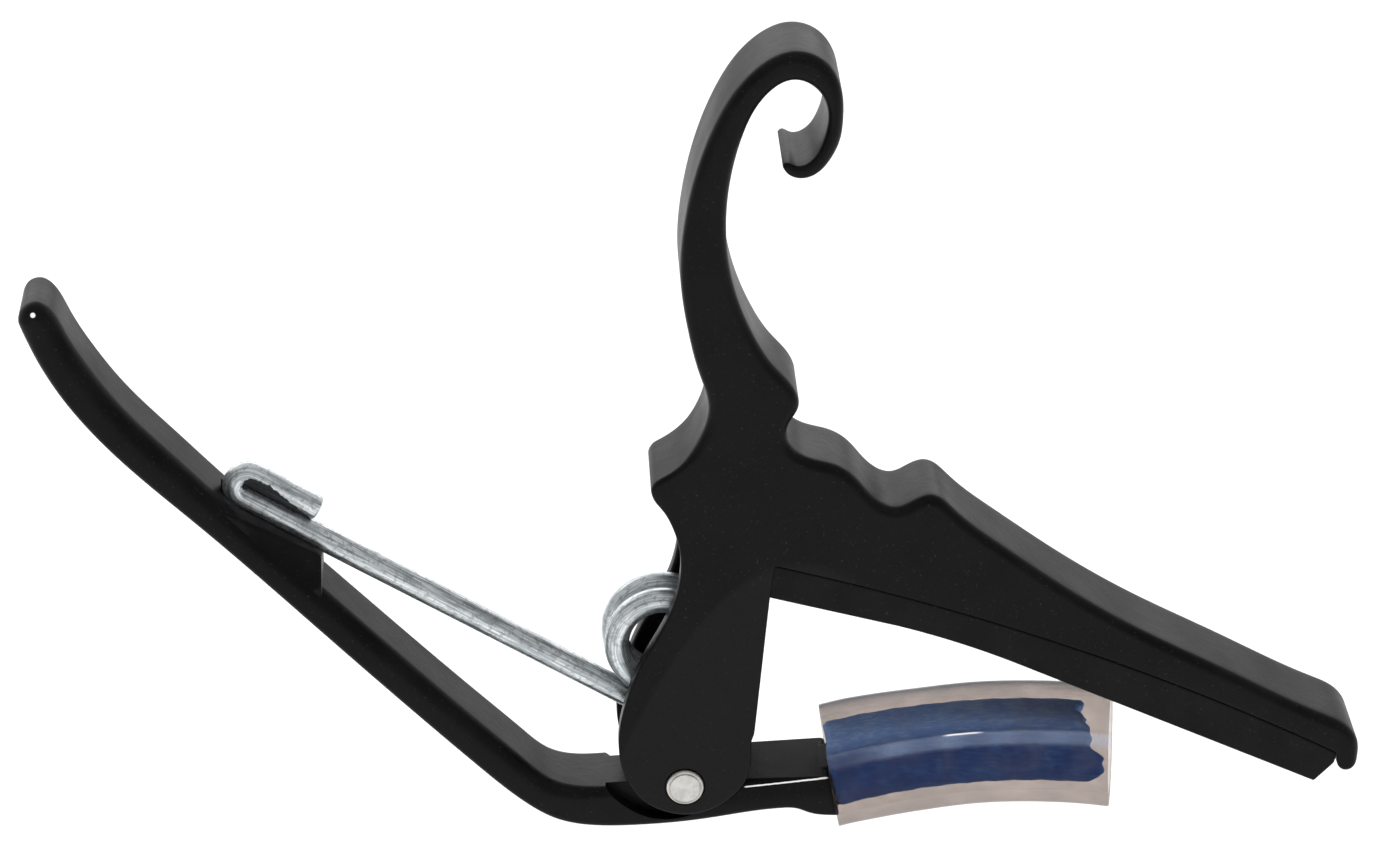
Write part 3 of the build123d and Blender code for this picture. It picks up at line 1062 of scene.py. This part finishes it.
def turned_steel():
    look = Look("pin_turned_steel", (0.62, 0.61, 0.58), 0.34, 0.5, 1.0)
    flat = look.vector("MULTIPLY", look.about_pin, (1, 0, 1))
    rings = look.noise(1.0, 2.0, 0.6, place=flat)
    lathe = look.noise(14.0, 2.0, 0.7, (1, 0, 0))
    radius = look.vector("LENGTH", flat)
    ripple = look.math("SINE", look.times(radius, 38.0))
    look.link("Base Color", look.mix(look.step(rings, 0.3, 0.7), (0.60, 0.59, 0.56), (0.46, 0.45, 0.43)))
    look.link("Roughness", look.step(lathe, 0.3, 0.7, 0.28, 0.42))
    look.bump(look.total((ripple, 0.25), (rings, 0.5)), 0.006, 0.5)
    return look.material


def zinc_wire():
    look = Look("spring_zinc_wire", (0.55, 0.58, 0.60), 0.26, 0.5, 1.0)
    join = look.tree.nodes.new("ShaderNodeCombineXYZ")
    for socket, name, scale in zip(join.inputs, ("side", "rise", "run"), (3.0, 3.0, 0.12)):
        look.give(socket, look.times(look.attribute(name), scale))
    drawn = look.noise(2.2, 4.0, 0.6, place=join.outputs[0])
    blotch = look.noise(0.5, 4.0, 0.6)
    dent = look.noise(1.7, 4.0, 0.65)
    colour = look.mix(look.step(drawn, 0.4, 0.6), (0.34, 0.375, 0.395), (0.80, 0.83, 0.84))
    colour = look.mix(look.step(blotch, 0.4, 0.65, 0.0, 0.35), colour, (0.46, 0.51, 0.51))
    colour = look.mix(look.step(dent, 0.52, 0.6, 0.0, 0.5), colour, (0.2, 0.22, 0.235))
    # painted shade: the wire is painted dark inside the hook, and made duller and less metallic there
    ragged = look.times(look.minus(dent, 0.5), 0.9)
    crook_shade = look.step(look.plus(look.attribute("crook_shade"), ragged), 0.35, 0.65)
    look.link("Base Color", look.mix(look.times(crook_shade, 0.95), colour, (0.008, 0.007, 0.009)))
    look.link("Metallic", look.times(look.minus(1.0, crook_shade), 0.86))
    look.link("Specular IOR Level", look.step(crook_shade, 0.0, 1.0, 0.5, 0.0))
    rough = look.step(drawn, 0.25, 0.75, 0.26, 0.42)
    look.link("Roughness", look.plus(rough, look.times(crook_shade, 0.4)))
    look.bump(look.total((drawn, 0.3), (dent, 0.7)), 0.06, 0.6)
    return look.material


def clear_vinyl():
    """Clear vinyl that tints what is behind it, painted darker at its edges, rims and top, with a pale
    painted highlight strip and a painted glint along the kink on its front.
    """
    look = Look("sleeve_clear_vinyl", (0.16, 0.13, 0.12), 0.12, 0.5)
    look.set("Alpha", 0.85)
    haze = look.noise(0.35, 4.0, 0.6)
    drawn = look.noise(1.2, 3.0, 0.6, (0.12, 1.0, 1.0))
    strip_highlight, fold_glint = look.attribute("strip_highlight"), look.attribute("fold_glint")
    colour = look.mix(look.step(haze, 0.3, 0.7), (0.13, 0.11, 0.11), (0.24, 0.19, 0.17))
    # painted highlight: the pale strip below the fold
    colour = look.mix(strip_highlight, colour, (0.42, 0.52, 0.72))
    look.link("Roughness", look.step(haze, 0.3, 0.7, 0.08, 0.2))
    look.bump(look.total((haze, 0.6), (drawn, 0.4)), 0.04, 0.5)
    # painted shade: darker where the vinyl is seen edge-on
    edge = look.tree.nodes.new("ShaderNodeLayerWeight")
    edge.inputs["Blend"].default_value = 0.35
    edge = look.math("POWER", edge.outputs["Facing"], 3.0)
    edge = look.times(edge, look.attribute("skin"))
    colour = look.mix(edge, colour, (0.03, 0.03, 0.035))
    # painted dark reflection along the tube's top
    crown_reflection = look.attribute("crown_reflection")
    colour = look.mix(crown_reflection, colour, (0.07, 0.08, 0.12))
    # painted shade on the cut rims
    rim = look.attribute("rim")
    colour = look.mix(rim, colour, (0.06, 0.07, 0.09))
    dull = look.plus(look.plus(edge, crown_reflection), rim, clamp=True)
    look.link("Specular IOR Level", look.step(dull, 0.0, 0.6, 0.4, 0.03))
    # painted highlight: the fold's white glint
    look.link("Base Color", look.mix(fold_glint, colour, (1.0, 1.0, 1.0)))
    # the share of light that meets the vinyl's own surface; the rest passes through, tinted
    share = look.total((edge, 0.9), (look.step(haze, 0.3, 0.7, 0.05, 0.11), 1.0), (strip_highlight, 0.22), (crown_reflection, 0.8))
    share = look.times(look.plus(share, fold_glint, clamp=True), look.attribute("skin"))
    share = look.plus(share, look.times(rim, 0.6), clamp=True)
    clear = look.tree.nodes.new("ShaderNodeBsdfTransparent")
    tint = look.mix(look.step(haze, 0.35, 0.65), (0.655, 0.60, 0.575), (0.59, 0.545, 0.52))
    look.give(clear.inputs["Color"], look.mix(look.attribute("skin"), (0.98, 0.98, 0.98), tint))
    blend = look.tree.nodes.new("ShaderNodeMixShader")
    look.give(blend.inputs[0], share)
    look.tree.links.new(clear.outputs[0], blend.inputs[1])
    look.tree.links.new(look.shader.outputs[0], blend.inputs[2])
    look.tree.links.new(blend.outputs[0], look.tree.nodes["Material Output"].inputs["Surface"])
    return look.material


def blue_foam():
    look = Look("liner_blue_foam", (0.03, 0.07, 0.2), 0.75, 0.3)
    thread = look.noise(2.4, 4.0, 0.7, (0.3, 1.2, 1.6))
    cloud = look.noise(0.45, 4.0, 0.65)
    pale = look.step(look.total((thread, 0.6), (cloud, 0.4)), 0.42, 0.66)
    # painted light: the top is a much lighter blue than the sides, as if lit from above
    side = look.mix(pale, (0.008, 0.054, 0.25), (0.032, 0.12, 0.4))
    upper = look.mix(pale, (0.16, 0.35, 0.84), (0.33, 0.57, 0.98))
    look.link("Base Color", look.mix(look.attribute("top"), side, upper))
    look.link("Roughness", look.step(thread, 0.3, 0.7, 0.6, 0.85))
    look.bump(thread, 0.1, 0.6)
    return look.material


def place_piece(piece, body, node, material):
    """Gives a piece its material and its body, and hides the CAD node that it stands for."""
    piece.data.materials.clear()
    piece.data.materials.append(material)
    if body:
        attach(piece, body)
    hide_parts(node)
    return piece


place_piece(make_body(), "clamp", "clamp_body", clamp_paint())
place_piece(make_lever(), "lever", "lever", lever_paint())
place_piece(make_pad(), "clamp", "string_pad", rubber())
place_piece(make_pin(), "clamp", "pivot_pin", turned_steel())
spring = place_piece(make_spring(), None, "spring", zinc_wire())
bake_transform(spring)
place_piece(make_sleeve(), "lever", "neck_sleeve", clear_vinyl())
liner = place_piece(make_liner(), "lever", "neck_liner", blue_foam())

# ---- floor, lights ----
floor_half = 3.0
floor_drop = 22 * MM  # clear of the neck rest when the jaw is open


def make_floor():
    data = bpy.data.meshes.new("floor")
    level = cad_bounds[0][2] - floor_drop
    corners = [(x * floor_half, y * floor_half, level) for x, y in ((-1, -1), (1, -1), (1, 1), (-1, 1))]
    data.from_pydata(corners, [], [(0, 1, 2, 3)])
    paper = Look("floor_white_paper", (0.82, 0.82, 0.82), 0.8, 0.1)
    fibre = paper.noise(0.8, 3.0)
    paper.link("Base Color", paper.mix(paper.step(fibre, 0.3, 0.7), (0.83, 0.83, 0.83), (0.80, 0.80, 0.80)))
    data.materials.append(paper.material)
    return link("floor", data)


def make_sky():
    """A white studio: bright walls behind and beside the part, a dark ceiling."""
    world = bpy.data.worlds.new("studio")
    bpy.context.scene.world = world
    world.use_nodes = True
    sky = world.node_tree

    def ramp(value, low, high, start, end):
        node = sky.nodes.new("ShaderNodeMapRange")
        node.interpolation_type = "SMOOTHSTEP"
        sky.links.new(value, node.inputs[0])
        for socket, v in zip(node.inputs[1:], (low, high, start, end)):
            socket.default_value = v
        return node.outputs[0]

    parts = sky.nodes.new("ShaderNodeSeparateXYZ")
    sky.links.new(sky.nodes.new("ShaderNodeTexCoord").outputs["Generated"], parts.inputs[0])
    glow = sky.nodes.new("ShaderNodeMath")
    glow.operation = "MULTIPLY"
    sky.links.new(ramp(parts.outputs[1], -0.25, 0.35, 0.0, 1.0), glow.inputs[0])
    sky.links.new(ramp(parts.outputs[2], 0.4, 0.7, 1.0, 0.0), glow.inputs[1])
    background = sky.nodes["Background"]
    sky.links.new(ramp(glow.outputs[0], 0.0, 1.0, 0.45, 0.85), background.inputs["Strength"])
    background.inputs["Color"].default_value = (1, 1, 1, 1)


def softbox(name, place, target, size, power, mirrored=True):
    """A rectangular lamp that faces the target; unless mirrored, no surface reflects it."""
    lamp = bpy.data.lights.new(name, "AREA")
    lamp.shape = "RECTANGLE"
    lamp.size, lamp.size_y = size
    lamp.energy = power
    piece = link(name, lamp)
    piece.matrix_world = aimed(place, Vector(target) - Vector(place))
    piece.visible_camera = False
    piece.visible_glossy = mirrored


make_floor()
make_sky()
softbox("back_box", (-0.25, 1.0, 0.5), (-0.04, 0, 0.02), (1.8, 0.7), 5.5)
softbox("top_box", (-0.1, -0.2, 1.0), (-0.04, 0, 0.02), (1.2, 1.2), 15.5, mirrored=False)
bpy.context.scene.view_settings.view_transform = "Standard"
